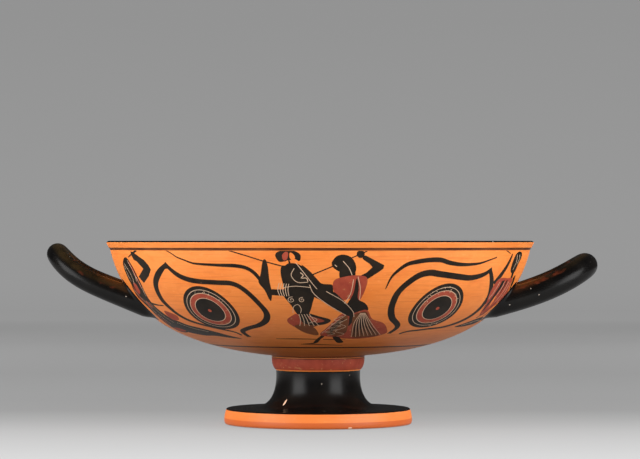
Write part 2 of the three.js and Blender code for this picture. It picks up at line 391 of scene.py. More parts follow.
def paintCloaked(spot):
    # a cloaked spearman beside the right handle: raised spear arm, bound hair, red cloak with dark folds
    stroke(spot, paint, [(29, 0.9), (21.1, 3.2)], [0.7, 0.7])
    stroke(spot, paint, [(17.6, 3.4), (18.2, 6.4), (20.8, 12.5), (24.6, 19), (28.3, 25.4)],
                         [2.2, 3.6, 4.6, 5.4, 6])
    area(spot, paint, [(5, 1.8), (-1.4, 3), (-3.4, 6.5), (-0.6, 10), (0.4, 15), (3, 17.6), (8.5, 17.2),
                       (12, 14.5), (13, 9), (11, 3.8)])
    stroke(spot, paint, [(4.4, 16), (3.4, 19.5), (0.7, 23.5)], [4.6, 3.4, 3.6])
    area(spot, red, [(24, 21.5), (10.1, 21.2), (0, 21.5), (-4, 26.6), (-9, 33), (-9.5, 38.3), (-3, 43),
                     (1, 47), (3, 53), (10, 54), (16, 48), (20.5, 41), (25, 34.6), (27.2, 28)])
    stroke(spot, paint, [(15.6, 23), (15.2, 28), (15.9, 34), (15, 42), (13, 49)], [4.6, 4.4, 3.8, 3, 2])
    stroke(spot, paint, [(8.8, 22.8), (8.7, 28.5), (8.9, 33.5)], [2.6, 2.2, 1.2])
    stroke(spot, paint, [(-3, 20), (-7, 25), (-10.6, 30.5)], [4, 4.4, 2.4])
    area(spot, clay, [(13.2, 35.6), (11.4, 36.6), (9, 42), (8.4, 46), (10.4, 43.5), (13, 39.4)])
    stroke(spot, paint, [(10, 57), (5.6, 49.5), (2.2, 41)], [1.6, 1.2, 0.9])
    stroke(spot, paint, [(0, 57), (-3.6, 49), (-8, 43)], [1.8, 1.2, 0.9])
    area(spot, paint, [(-6, 57), (2, 56.6), (10, 59), (18, 62.5), (26, 67), (16, 67.4), (6, 66.2),
                       (-4, 64), (-9, 61)])
    scratches(spot, [[(3, 4), (0.4, 7), (3, 11)], [(8, 4), (5.4, 9), (7, 15)], [(21, 24), (20.6, 31),
                     (21.4, 38)], [(12, 24), (11.6, 30), (12, 35)], [(4.6, 24), (3.6, 32), (5, 41)],
                     [(0, 25), (-2, 33), (-0.6, 42)], [(-4, 60), (3, 60.4), (9, 63)], [(6, 61),
                     (13, 63.6), (19, 65.4)]], 0.62)


def paintWear(spot, count, reach, start, end):
    # flecks where the gloss has worn off round an iris, at random places between two angles
    draws = rng.uniform(*reach, count), rng.uniform(start, end, count), rng.uniform(0.35, 0.9, count)
    for radius, angle, size in zip(*draws):
        turn = math.radians(angle)
        centre = (radius * math.cos(turn), radius * math.sin(turn))
        disc(spot, incised, centre, size / 2, rng.uniform(0.6, 1.4))


for turn in (0, -180):
    for name in ("left", "right"):
        paintEye(name, turn)
    paintWarrior((turn, 0, 1))
    paintDraped((turn, 0, 1))
    paintShieldBearer((-66 + turn, 0, 1))
    paintCloaked((70 + turn, 0, -1))
paintWear(eyeSpot("left"), 16, (15, 18.5), -130, -30)
paintWear(eyeSpot("right"), 34, (13.5, 18.5), -150, -20)
paintWear(eyeSpot("right"), 16, (15, 20), 70, 130)
print("painted shapes", len(shapes))

handles = {
    "left": {"side": -1, "reach": -cupLow[0] / mm, "tipHeight": 119.5, "tipRadius": 7.3, "lift": 0.7,
             "curl": 6, "fired": 0.45, "thinFrom": 0.15},
    "right": {"side": 1, "reach": cupHigh[0] / mm, "tipHeight": 111.3, "tipRadius": 8.6, "lift": 0.65,
              "curl": 3, "fired": 0.55, "thinFrom": 0.5},
    "halfWidth": 30,
    "pinch": 0.14,
    "rootX": 108,
    "wallX": 120,
    "wallHeight": 84,
    "rootRadius": 9,
    "squareness": 2.6,
    "sides": 40,
    "rings": 110,
    "spread": 3.5,  # how far the clay smeared round a root reaches over the wall
    "fillet": 4.5,
    "filletRings": 6,
}


def handleLine(handle):
    # a super-ellipse in plan, |cos|^(2/n) out and |sin|^(2/n) across; it climbs by lift c + (1 - lift) c^curl
    angle = np.radians(np.linspace(-90, 90, 1401))
    power = 2 / handles["squareness"]
    out = np.abs(np.cos(angle)) ** power
    across = np.sign(angle) * np.abs(np.sin(angle)) ** power
    tipX = handle["reach"] - handle["tipRadius"]
    x = handles["rootX"] + (tipX - handles["rootX"]) * out
    climb = np.clip((x - handles["wallX"]) / (tipX - handles["wallX"]), 0, 1)
    y = across * handles["halfWidth"] * (1 - handles["pinch"] * (1 - out))
    rise = handle["lift"] * climb + (1 - handle["lift"]) * climb ** handle["curl"]
    z = handles["wallHeight"] + (handle["tipHeight"] - handles["wallHeight"]) * rise
    points = np.column_stack((handle["side"] * x, handle["side"] * y, z))
    length = arcLength(points)[-1]
    return resample(points, np.linspace(0, length, 701)), length, tipX


def handleSurface(handle):
    # S(t, a) = C(t) + r(t) (N cos a + B sin a), N the upward direction made square to the centre line
    line, length, tipX = handleLine(handle)
    along = np.linspace(0, length, len(line))
    tangent = np.gradient(line, along, axis=0)
    for _ in range(12):
        tangent[1:-1] = (tangent[:-2] + 2 * tangent[1:-1] + tangent[2:]) / 4
    tangent /= np.linalg.norm(tangent, axis=1)[:, None]
    up = np.array([0, 0, 1.0]) - tangent * tangent[:, 2:3]
    up /= np.linalg.norm(up, axis=1)[:, None]
    side = np.cross(tangent, up)
    inness = np.clip((tipX - np.abs(line[:, 0])) / (tipX - handles["rootX"]), 0, 1)
    radius = handle["tipRadius"] + (handles["rootRadius"] - handle["tipRadius"]) * inness**1.5

    def surface(t, angle):
        middle, above, beside = [
            np.stack([np.interp(t, along, field[:, i]) for i in range(3)], -1) for field in (line, up, side)
        ]
        size = np.interp(t, along, radius)[..., None]
        return middle + size * (above * np.cos(angle)[..., None] + beside * np.sin(angle)[..., None])

    return surface, length


def outsideWall(points):
    # radius beyond the wall's own radius at that height
    wallRadius = np.interp(points[..., 2], wallCurve[upward, 1], wallCurve[upward, 0])
    return np.hypot(points[..., 0], points[..., 1]) - wallRadius


def makeHandle(handle):
    # each side line is cut where it leaves the wall, and a curved fillet joins it to the smeared root
    surface, length = handleSurface(handle)
    angles = np.linspace(0, 2 * math.pi, handles["sides"], endpoint=False)
    trial = np.linspace(0, length / 2, 900)
    ends = []
    for flip in (False, True):
        t = length - trial if flip else trial
        beyond = outsideWall(surface(np.tile(t[:, None], len(angles)), np.tile(angles, (len(t), 1))))
        first = len(t) - np.argmax(beyond[::-1] < 0, axis=0)  # one past the last step still inside the wall
        cut = t[np.minimum(first, len(t) - 1)]
        root = surface(cut, angles)
        down = np.interp(root[:, 2], wallCurve[upward, 1], wallAlong[upward])
        azimuth = np.degrees(np.arctan2(root[:, 0], -root[:, 1]))
        azimuth = np.where(azimuth > painting["seam"], azimuth - 360, azimuth)
        rootRadius = wallPoint(down)[0].mean()
        flat = np.column_stack((np.radians(azimuth) * rootRadius, down))
        outward = flat - flat.mean(axis=0)
        spread = flat + outward / np.linalg.norm(outward, axis=1)[:, None] * handles["spread"]
        footAzimuth, footDown = np.degrees(spread[:, 0] / rootRadius), spread[:, 1]
        radius, height = wallPoint(footDown)
        foot = placeOnCup(radius, height, footAzimuth)
        begin = cut + (-1 if flip else 1) * handles["fillet"]
        ends.append({
            "loop": np.column_stack((footAzimuth * painting["degree"], footDown)),
            "foot": foot,
            "normal": turnedNormal(wallNormal(footDown), footAzimuth),
            "root": root,
            "begin": begin,
        })
    share = np.linspace(0, 1, handles["rings"])[:, None]
    places = ends[0]["begin"] * (1 - share) + ends[1]["begin"] * share
    tube = surface(places, np.tile(angles, (len(share), 1)))
    bend = np.linspace(0, 1, handles["filletRings"] + 1)[:-1, None, None]
    fillets = []
    for end, ring in ((ends[0], tube[0]), (ends[1], tube[-1])):
        fillets.append((1 - bend) ** 2 * end["foot"] + 2 * bend * (1 - bend) * end["root"] + bend**2 * ring)
    grid = np.concatenate((fillets[0], tube, fillets[1][::-1]))
    along = np.gradient(grid, axis=0)
    around = np.roll(grid, -1, axis=1) - np.roll(grid, 1, axis=1)
    normals = np.cross(along, around)
    normals /= np.linalg.norm(normals, axis=2)[..., None]
    centre = grid.mean(axis=1, keepdims=True)
    if (normals * (grid - centre)).sum() < 0:
        normals = -normals
    normals[0], normals[-1] = ends[0]["normal"], ends[1]["normal"]
    return grid, normals, [end["loop"] for end in ends]


handleGrids = {name: makeHandle(handles[name]) for name in ("left", "right")}
rootLoops = [loop for name in ("left", "right") for loop in handleGrids[name][2]]
print("handles worked out")


def insideOutline(points, outline):
    # winding number: signed crossings of the outline's edges by a ray to the right are not zero
    ahead = np.roll(outline, -1, axis=0)
    x, y = points[:, 0:1], points[:, 1:2]
    rising = (outline[:, 1] <= y) & (ahead[:, 1] > y)
    falling = (outline[:, 1] > y) & (ahead[:, 1] <= y)
    edge = ahead - outline
    turn = edge[:, 0] * (y - outline[:, 1]) - (x - outline[:, 0]) * edge[:, 1]
    return (rising & (turn > 0)).sum(axis=1) - (falling & (turn < 0)).sum(axis=1) != 0


def boundedInside(points, outline):
    # the winding test on the points in the outline's own box alone
    low, high = outline.min(axis=0), outline.max(axis=0)
    near = np.flatnonzero(((points >= low) & (points <= high)).all(axis=1))
    return near[insideOutline(points[near], outline)] if len(near) else near


def snapToLoop(points, loop):
    # points where painted outlines cross a root's edges move to its nearest corner, so the handle welds on
    ahead = np.roll(loop, -1, axis=0) - loop
    away = points[:, None] - loop
    along = np.clip((away * ahead).sum(axis=2) / (ahead**2).sum(axis=1), 0, 1)
    gap = np.linalg.norm(away - along[..., None] * ahead, axis=2).min(axis=1)
    nearest = np.linalg.norm(away, axis=2).argmin(axis=1)
    return np.where((gap < 0.01)[:, None], loop[nearest], points)


def makeWall():
    # the unrolled wall as a net of triangles that follow every painted outline, then rolled up again
    degree = painting["degree"]
    left, right = (painting["seam"] - 360) * degree, painting["seam"] * degree
    ground = [painting["groundLine"] + side * painting["groundWidth"] / 2 for side in (-1, 1)]
    upper = np.linspace(painting["washWidth"], ground[0], int(ground[0] / painting["rowStep"]) + 1)
    lower = np.linspace(ground[1], wallLength, int((wallLength - ground[1]) / painting["rowStep"]) + 1)
    rows = np.concatenate(([0], upper, lower))
    columns = np.linspace(left, right, turned["columns"] + 1)
    grid = np.stack(np.meshgrid(columns, rows), -1).reshape(-1, 2)
    outlines = [outline for _, outline in shapes] + rootLoops
    tree = KDTree(sum(len(outline) for outline in outlines))
    drawn = np.vstack(outlines)
    for i, point in enumerate(drawn):
        tree.insert((point[0], point[1], 0), i)
    tree.balance()
    distance = np.array([tree.find((point[0], point[1], 0))[2] for point in grid])
    fixedRow = np.isin(grid[:, 1], [0, painting["washWidth"], ground[0], ground[1], wallLength])
    border = (grid[:, 0] < left + 0.01) | (grid[:, 0] > right - 0.01)
    grid = grid[fixedRow | border | (distance > painting["clearance"])]
    points, edges = [grid], []
    for row in (painting["washWidth"], ground[0], ground[1]):
        chain = np.flatnonzero(grid[:, 1] == row)
        chain = chain[np.argsort(grid[chain, 0])]
        edges += list(zip(chain[:-1].tolist(), chain[1:].tolist()))
    count = len(grid)
    for outline in outlines:
        points.append(outline)
        ring = np.arange(count, count + len(outline))
        edges += list(zip(ring.tolist(), np.roll(ring, -1).tolist()))
        count += len(outline)
    flat = [Vector(point) for point in np.vstack(points).tolist()]
    net = delaunay_2d_cdt(flat, edges, [], 0, 1e-4, False)
    points = np.array([tuple(point) for point in net[0]])
    triangles = np.array(net[2])
    middles = points[triangles].mean(axis=1)
    slot = np.full(len(triangles), clay)
    slot[middles[:, 1] < painting["washWidth"]] = wash
    slot[(middles[:, 1] > ground[0]) & (middles[:, 1] < ground[1])] = paint
    for finish, outline in shapes:
        slot[boundedInside(middles, outline)] = finish
    keep = np.ones(len(triangles), bool)
    for loop in rootLoops:
        keep[boundedInside(middles, loop)] = False
    triangles, slot = triangles[keep], slot[keep]
    for loop in rootLoops:
        points = snapToLoop(points, loop)
    azimuth = points[:, 0] / degree
    radius, height = wallPoint(points[:, 1])
    normals = turnedNormal(wallNormal(points[:, 1]), azimuth)
    return placeOnCup(radius, height, azimuth), normals, triangles, slot


def softCorners(keys):
    # straight runs between the keys, with rows close to both ends so that the corners stay crisp
    step = turned["edgeStep"]
    path = [keys[0]]
    for start, end in zip(keys[:-1], keys[1:]):
        start, end = np.asarray(start, float), np.asarray(end, float)
        length = np.linalg.norm(end - start)
        if length > 3 * step:
            path += [start + (end - start) * step / length, end - (end - start) * step / length]
        path.append(end)
    return np.array(path, float)


def gridTriangles(rows, columns):
    # two triangles for each cell between neighbouring rows, closed round the columns
    j, k = [index.ravel() for index in np.meshgrid(np.arange(rows - 1), np.arange(columns), indexing="ij")]
    here, beside = j * columns + k, j * columns + (k + 1) % columns
    return np.vstack((
        np.column_stack((here, beside, beside + columns)),
        np.column_stack((here, beside + columns, here + columns)),
    ))


def makeTurned(bands, outward):
    # bands of (profile points, finish) joined end to end and turned round; normals from the profile's slope
    profile = np.vstack([bands[0][0][:1]] + [points[1:] for points, _ in bands])
    slots = np.concatenate([np.full(len(points) - 1, slot) for points, slot in bands])
    along = arcLength(profile)
    slope = np.gradient(profile, along, axis=0)
    slope /= np.linalg.norm(slope, axis=1)[:, None]
    normal = np.column_stack((slope[:, 1], -slope[:, 0])) * outward
    count = turned["columns"]
    azimuth = np.linspace(painting["seam"] - 360, painting["seam"], count, endpoint=False)
    onAxis = profile[-1, 0] < 1e-6
    rows = len(profile) - (1 if onAxis else 0)
    radius, height = [np.repeat(profile[:rows, i], count) for i in (0, 1)]
    turnedRound = np.tile(azimuth, rows)
    points = placeOnCup(radius, height, turnedRound)
    normals = turnedNormal(np.repeat(normal[:rows], count, axis=0), turnedRound)
    triangles = gridTriangles(rows, count)
    faceSlots = np.tile(np.repeat(slots[: rows - 1], count), 2)
    if onAxis:
        points = np.vstack((points, placeOnCup(np.zeros(1), profile[-1:, 1], np.zeros(1))))
        normals = np.vstack((normals, [[0, 0, np.sign(normal[-1, 1])]]))
        k = np.arange(count)
        last = (rows - 1) * count
        cap = np.column_stack((last + k, last + (k + 1) % count, np.full(count, rows * count)))
        triangles = np.vstack((triangles, cap))
        faceSlots = np.concatenate((faceSlots, np.full(count, slots[-1])))
    return points, normals, triangles, faceSlots


def upperBands():
    # notch, lip, round rim, inside of the bowl parallel to the wall, plain roundel on the floor
    lipBottom = (rimRadius - turned["lipSlant"], rimHeight - turned["lipHeight"] + turned["lipStep"])
    wide, tall = turned["rimRound"]
    start = math.radians(turned["clayOnRim"])
    clayRound, blackRound = [
        np.column_stack((rimRadius - wide + wide * np.cos(turn), rimHeight - tall + tall * np.sin(turn)))
        for turn in (np.linspace(0, start, 4), np.linspace(start, math.pi / 2, 8))
    ]
    quarter = np.linspace(0, math.pi / 2, 7)
    innerEdge = rimRadius - turned["rimThickness"]
    inner = turned["innerRound"]
    innerRound = np.column_stack(
        (innerEdge + inner - inner * np.sin(quarter), rimHeight - inner + inner * np.cos(quarter))
    )
    t = np.linspace(0, 1, 400)
    outer = resample(wallCurve, t * wallLength)
    inward = -wallNormal(t * wallLength)
    thickness = turned["wallAtLip"] + (turned["wallAtFloor"] - turned["wallAtLip"]) * t
    inside = outer + inward * thickness[:, None]
    inside = inside[inside[:, 0] > turned["bowlBottom"][0] - 0.2]
    floorStart = inside[-1]
    level = turned["floorHeight"]
    floorBends = [(floorStart[0] * 0.66, floorStart[1] - 0.75), (floorStart[0] * 0.3, level)]
    floor = bezier([floorStart, *floorBends, (0, level)], np.linspace(0, 1, 100))
    bowl = np.vstack((innerRound[-1:], inside, floor[1:]))
    length = arcLength(bowl)[-1]
    radii = [turned["tondoRadius"] * share for share in (1.13, 1.1, 1.0, 0.4, 0.37, 0.08)]
    marks = [length - radius for radius in radii]
    finishes = [gloss, clay, gloss, clay, gloss, clay, gloss]
    places = [0] + marks + [length]
    bands = [
        (softCorners([bowlTop, lipBottom]), wash),
        (softCorners([lipBottom, clayRound[0]]), clay),
        (clayRound, clay),
        (np.vstack((blackRound, innerRound)), gloss),
    ]
    for start, end, finish in zip(places[:-1], places[1:], finishes):
        count = turned["insideRows"] if start == 0 else max(2, int((end - start) / 2.6) + 1)
        bands.append((resample(bowl, np.linspace(start, end, count)), finish))
    return bands


def lowerBands():
    # red ring with its thin lines, waisted stem, foot plate, standing ring, plain hollow up inside the stem
    stemEnd = (turned["stemRadius"], turned["stemTop"])
    ringEnd = (turned["ringRadius"], turned["ringTop"])
    ring = bezier([stemEnd, turned["ringBulge"], ringEnd], np.linspace(0, 1, 30))[::-1]
    marks = [turned["ringTop"], 46.9, 46.2, 38.5, turned["stemTop"]]
    ringSlots = [clay, wash, red, clay]
    # the step from the bowl's bottom down to the ring is dilute gloss brown, as painted shade under the bowl
    bands = [(softCorners([turned["bowlBottom"], ring[0]]), wash)]
    for high, low, slot in zip(marks[:-1], marks[1:], ringSlots):
        heights = np.linspace(high, low, max(2, int((high - low) / 0.8) + 1))
        radii = np.interp(heights, ring[::-1, 1], ring[::-1, 0])
        bands.append((np.column_stack((radii, heights)), slot))
    stem = bezier([*turned["stemCurve"], stemEnd], np.linspace(0, 1, 26))[::-1]
    footEdge = bezier(turned["footEdge"], np.linspace(0, 1, 14))[::-1]
    hollow = bezier(turned["hollow"], np.linspace(0, 1, 24))[::-1]
    plate = softCorners([stem[-1], turned["footShoulder"][0]])
    shoulder = bezier(turned["footShoulder"], np.linspace(0, 1, 6))
    bands += [(stem, gloss), (plate, gloss), (shoulder, gloss), (footEdge, clay)]
    bands += [(softCorners([footEdge[-1], hollow[0]]), clay), (hollow, clay)]
    return bands


def gridPart(grid, normals, slot):
    # a tube's rings as triangles, closed round its sides
    triangles = gridTriangles(*grid.shape[:2])
    return grid.reshape(-1, 3), normals.reshape(-1, 3), triangles, np.full(len(triangles), slot)


def thinGloss(points, normals, handle):
    # x: how thin, 0 to 1, the gloss lies on the sides of a handle that face up and toward the bowl;
    # y: the share of it that fired red, most in the band where the thin gloss ends
    away = np.abs(points[:, 0]) - rimRadius
    facing = 0.82 * normals[:, 2] - 0.57 * normals[:, 0] * np.sign(points[:, 0])
    start = handle["thinFrom"]
    thin = smoothStep(facing, start, start + 0.45)
    band = np.exp(-((facing - start - 0.2) / 0.25) ** 2) * smoothStep(-away, -38, -14)
    share = np.column_stack((thin, handle["fired"] * np.maximum(band, handle["fired"] * thin), 0 * thin))
    return share * smoothStep(away, -30, -8)[:, None]


def facingOut(part):
    # turns a part's triangles over where most of them oppose their own normals
    points, normals, triangles, slots = part
    a, b, c = [points[triangles[:, i]] for i in range(3)]
    agree = (np.cross(b - a, c - a) * normals[triangles].sum(axis=1)).sum(axis=1)
    if (agree > 0).mean() < 0.5:
        triangles = triangles[:, ::-1]
    return points, normals, triangles, slots


def makeCup():
    # the parts' triangles in one mesh, their shared edges welded, shaded by the worked-out normals
    wall = makeWall()
    print("wall", len(wall[2]), "triangles")
    parts = [facingOut(part) for part in (
        wall, makeTurned(upperBands(), 1), makeTurned(lowerBands(), -1),
        *[gridPart(handleGrids[name][0], handleGrids[name][1], gloss) for name in ("left", "right")],
    )]
    offsets = np.cumsum([0] + [len(part[0]) for part in parts])
    points = np.vstack([part[0] for part in parts]) * mm
    triangles = np.vstack([part[2] + offset for part, offset in zip(parts, offsets)])
    slots = np.concatenate([part[3] for part in parts])
    cornerNormals = np.vstack([part[1][part[2].ravel()] for part in parts])
    mesh = bpy.data.meshes.new("Kylix")
    mesh.from_pydata(points.tolist(), [], triangles.tolist())
    mesh.polygons.foreach_set("material_index", slots.astype(np.int32))
    thin = [np.zeros((len(part[0]), 3)) for part in parts[:3]]
    thin += [thinGloss(part[0], part[1], handles[name]) for part, name in zip(parts[3:], ("left", "right"))]
    carried = [("thinGloss", "POINT", np.vstack(thin)), ("cornerNormal", "CORNER", cornerNormals)]
    for name, domain, values in carried:
        mesh.attributes.new(name, "FLOAT_VECTOR", domain).data.foreach_set("vector", values.ravel())
    net = bmesh.new()
    net.from_mesh(mesh)
    bmesh.ops.remove_doubles(net, verts=net.verts, dist=2e-6)
    net.to_mesh(mesh)
    loose = sum(1 for edge in net.edges if len(edge.link_faces) != 2)
    net.free()
    print("cup", len(mesh.polygons), "triangles,", loose, "edges without two faces")
    normals = np.empty(len(mesh.loops) * 3)
    mesh.attributes["cornerNormal"].data.foreach_get("vector", normals)
    mesh.attributes.remove(mesh.attributes["cornerNormal"])
    mesh.shade_smooth()
    mesh.normals_split_custom_set(normals.reshape(-1, 3).tolist())
    cup = bpy.data.objects.new("Kylix", mesh)
    bpy.context.collection.objects.link(cup)
    return cup


def linear(code):
    # sRGB hex to linear: ((c + 0.055) / 1.055)^2.4, or c / 12.92 where dark
    values = [int(code[i:i + 2], 16) / 255 for i in (1, 3, 5)]
    return [c / 12.92 if c <= 0.04045 else ((c + 0.055) / 1.055) ** 2.4 for c in values] + [1.0]


def addNode(tree, kind, settings=None, **links):
    # a node with its plain values set and its inputs linked; a link's name is the socket's with _ for a space
    node = tree.nodes.new(kind)
    for name, value in (settings or {}).items():
        if name in node.inputs:
            node.inputs[name].default_value = value
        else:
            setattr(node, name, value)
    for name, source in links.items():
        tree.links.new(source, node.inputs[name.replace("_", " ")])
    return node


def newMaterial(name, roughness, specular=0.5):
    material = bpy.data.materials.new(name)
    material.use_nodes = True
    shader = material.node_tree.nodes["Principled BSDF"]
    shader.inputs["Roughness"].default_value = roughness
    shader.inputs["IOR"].default_value = 1.5
    shader.inputs["Specular IOR Level"].default_value = specular
    return material, material.node_tree, shader


def mottle(tree, dark, light, size, spread, stretch=(1, 1, 1)):
    # two tones mixed by noise whose patches are about size mm across
    place = addNode(tree, "ShaderNodeTexCoord").outputs["Object"]
    mapped = addNode(tree, "ShaderNodeMapping", {"Scale": stretch}, Vector=place).outputs["Vector"]
    noise = addNode(tree, "ShaderNodeTexNoise", {"Scale": 1 / (size * mm), "Detail": 3.0}, Vector=mapped)
    ramp = addNode(tree, "ShaderNodeValToRGB", Fac=noise.outputs["Fac"])
    ramp.color_ramp.elements[0].position = 0.5 - spread
    ramp.color_ramp.elements[1].position = 0.5 + spread
    ramp.color_ramp.elements[0].color = linear(dark)
    ramp.color_ramp.elements[1].color = linear(light)
    return ramp.outputs["Color"], mapped


def specks(tree, place, size, spacing, share):
    # 1 inside round specks of that size, one in each lucky cell of that spacing, both in mm
    cells = addNode(tree, "ShaderNodeTexVoronoi", {"Scale": 1 / (spacing * mm)}, Vector=place)
    near = addNode(tree, "ShaderNodeMath", {"operation": "LESS_THAN"})
    near.inputs[1].default_value = size / spacing / 2
    tree.links.new(cells.outputs["Distance"], near.inputs[0])
    luck = addNode(tree, "ShaderNodeMath", {"operation": "LESS_THAN"})
    luck.inputs[1].default_value = share
    tree.links.new(cells.outputs["Color"], luck.inputs[0])
    both = addNode(tree, "ShaderNodeMath", {"operation": "MULTIPLY"})
    tree.links.new(near.outputs[0], both.inputs[0])
    tree.links.new(luck.outputs[0], both.inputs[1])
    return both.outputs[0]


def layer(tree, fac, below, above):
    # the upper tone over the lower one where fac is 1; either is a socket or a hex colour
    mix = addNode(tree, "ShaderNodeMix", {"data_type": "RGBA"})
    colourSockets = [socket for socket in mix.inputs if socket.type == "RGBA"]
    tree.links.new(fac, mix.inputs[0])
    for socket, tone in zip(colourSockets, (below, above)):
        if isinstance(tone, str):
            socket.default_value = linear(tone)
        else:
            tree.links.new(tone, socket)
    return [socket for socket in mix.outputs if socket.type == "RGBA"][0]


def patches(tree, place, size, low, high, strength):
    # 0 to the given strength: soft patches about size mm across, where noise lies over low, full over high
    noise = addNode(tree, "ShaderNodeTexNoise", {"Scale": 1 / (size * mm), "Detail": 3.0}, Vector=place)
    share = addNode(tree, "ShaderNodeMapRange", {"From Min": low, "From Max": high, "To Max": strength},
                    Value=noise.outputs["Fac"])
    return share.outputs["Result"]


def chip(tree, place, centre, reach, lean=0):
    # 1 inside an ellipsoid with half sizes reach, leaned about Y in degrees: |(place - centre) / reach| < 1
    inside = addNode(tree, "ShaderNodeMapping", {
        "vector_type": "TEXTURE",
        "Location": [value * mm for value in centre],
        "Rotation": (0, math.radians(lean), 0),
        "Scale": [value * mm for value in reach],
    }, Vector=place)
    length = addNode(tree, "ShaderNodeVectorMath", {"operation": "LENGTH"}, Vector=inside.outputs["Vector"])
    near = addNode(tree, "ShaderNodeMath", {"operation": "LESS_THAN"})
    near.inputs[1].default_value = 1.0
    tree.links.new(length.outputs["Value"], near.inputs[0])
    return near.outputs[0]


def claySurface():
    # Attic clay, wheel-thrown, burnished and fired orange: banded and patchy, soft sheen, rare dark grit
    material, tree, shader = newMaterial("Burnished orange clay", 0.5)
    tone, place = mottle(tree, "#E97F31", "#F28E43", 38, 0.22, (1, 1, 2.4))
    tone = layer(tree, patches(tree, place, 9, 0.52, 0.72, 0.35), tone, "#D8702A")
    tone = layer(tree, patches(tree, place, 4, 0.6, 0.75, 0.3), tone, "#FBA766")
    wheel = addNode(tree, "ShaderNodeMapping", {"Scale": (0.2, 0.2, 2.4)}, Vector=place).outputs["Vector"]
    tone = layer(tree, patches(tree, wheel, 5, 0.52, 0.66, 0.32), tone, "#CC6324")
    height = addNode(tree, "ShaderNodeSeparateXYZ", Vector=place).outputs["Z"]
    for start, end, share in ((0.011, 0.01, 0.95), (0.066, 0.054, 0.45)):
        # the foot's edge darker, and the underside below 66 mm darker as painted shade under the bowl: 0
        # above start, growing to the share at end
        reach = {"From Min": start, "From Max": end, "To Max": share}
        darkerBelow = addNode(tree, "ShaderNodeMapRange", reach, Value=height)
        tone = layer(tree, darkerBelow.outputs["Result"], tone, "#B85520")
    tone = layer(tree, specks(tree, place, 1.3, 15, 0.12), tone, "#A0562A")
    tone = layer(tree, specks(tree, place, 1.1, 11, 0.08), tone, "#FBC090")
    tone = layer(tree, chip(tree, place, (20.5, -63, 2.3), (1.5, 3, 0.9)), tone, "#FFE0C4")
    tree.links.new(tone, shader.inputs["Base Color"])
    return material


def glossSurface():
    # black gloss: fine slip sintered in the three-stage firing, hard sheen, brown and red where it lies thin
    material, tree, shader = newMaterial("Black gloss slip", 0.27, 0.25)
    tone, place = mottle(tree, "#080707", "#12100E", 14, 0.2)
    brown, _ = mottle(tree, "#1C160C", "#332716", 12, 0.16, (1, 1, 1.6))
    fired, _ = mottle(tree, "#2C130A", "#5C2C1B", 7, 0.16)
    share = addNode(tree, "ShaderNodeAttribute", {"attribute_name": "thinGloss"})
    shares = addNode(tree, "ShaderNodeSeparateXYZ", Vector=share.outputs["Vector"])
    tone = layer(tree, shares.outputs["X"], tone, brown)
    noise = addNode(tree, "ShaderNodeTexNoise", {"Scale": 1 / (7 * mm), "Detail": 4.0}, Vector=place)
    total = addNode(tree, "ShaderNodeMath", {"operation": "ADD"})
    tree.links.new(noise.outputs["Fac"], total.inputs[0])
    tree.links.new(shares.outputs["Y"], total.inputs[1])
    streaks = addNode(tree, "ShaderNodeMapRange", {"From Min": 0.88, "From Max": 1.1}, Value=total.outputs[0])
    tone = layer(tree, streaks.outputs["Result"], tone, fired)
    tone = layer(tree, specks(tree, place, 0.8, 5, 0.22), tone, "#B8ADA0")
    tone = layer(tree, chip(tree, place, (-24.3, -27.8, 16.4), (0.55, 5, 2.6), 34), tone, "#E9BC9C")
    tree.links.new(tone, shader.inputs["Base Color"])
    return material


def paintSurface():
    # black gloss laid on with a brush: thinner and warmer than the dipped gloss, with less sheen; its black
    # is lighter too, as a painted reflection of the pale floor on the wall
    material, tree, shader = newMaterial("Brushed gloss line", 0.45, 0.1)
    tone, place = mottle(tree, "#1B1713", "#2B231C", 10, 0.2)
    tone = layer(tree, specks(tree, place, 0.6, 5, 0.15), tone, "#8E6A4C")
    tree.links.new(tone, shader.inputs["Base Color"])
    return material


def redSurface():
    # added red: iron-rich slip laid over the gloss, matt, with small pale losses
    material, tree, shader = newMaterial("Added red slip", 0.62, 0.3)
    tone, place = mottle(tree, "#8F3828", "#A94B35", 5, 0.25)
    tone = layer(tree, patches(tree, place, 3, 0.62, 0.7, 0.55), tone, "#B98254")
    tone = layer(tree, specks(tree, place, 0.7, 3.4, 0.2), tone, "#D0A070")
    tree.links.new(tone, shader.inputs["Base Color"])
    return material


def incisedSurface():
    # bare clay in lines scratched through the gloss before firing, drawn as wide as they need to show
    material, tree, shader = newMaterial("Incised clay line", 0.7)
    shader.inputs["Base Color"].default_value = linear("#CFAF92")
    return material


def washSurface():
    # dilute gloss: brown lines under the lip, on the ground and above the ring, and brown garments; the brown
    # step between the bowl and the ring is painted shade under the bowl
    material, tree, shader = newMaterial("Dilute gloss line", 0.45, 0.2)
    tone, _ = mottle(tree, "#4A210C", "#7A4420", 16, 0.2)
    tree.links.new(tone, shader.inputs["Base Color"])
    return material


cup = makeCup()
for makeSurface in (claySurface, glossSurface, redSurface, incisedSurface, washSurface, paintSurface):
    cup.data.materials.append(makeSurface())
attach(cup, "root")
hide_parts("kylix")
print("cup finished")

studio = {
    "floorRadius": 3.3,
    "bendRadius": 0.7,
    "height": 4.2,
    "sides": 96,
    # painted light on the paper: its glow from the front of the floor to its back, brighter in front where
    # the lamps fall, by distance behind the cup in metres
    "paintedLightTones": [(-0.75, "#D4D4D4"), (-0.29, "#C5C5C5"), (-0.07, "#AFAFAF"), (0.05, "#999999"),
              (0.16, "#868686"), (0.3, "#7E7E7E"), (0.75, "#737373"), (1.6, "#767676"), (2.6, "#929292"),
              (3.0, "#939393")],
    "paintedLightAtTop": 0.88,
    "ambient": "#3A3A3A",
}


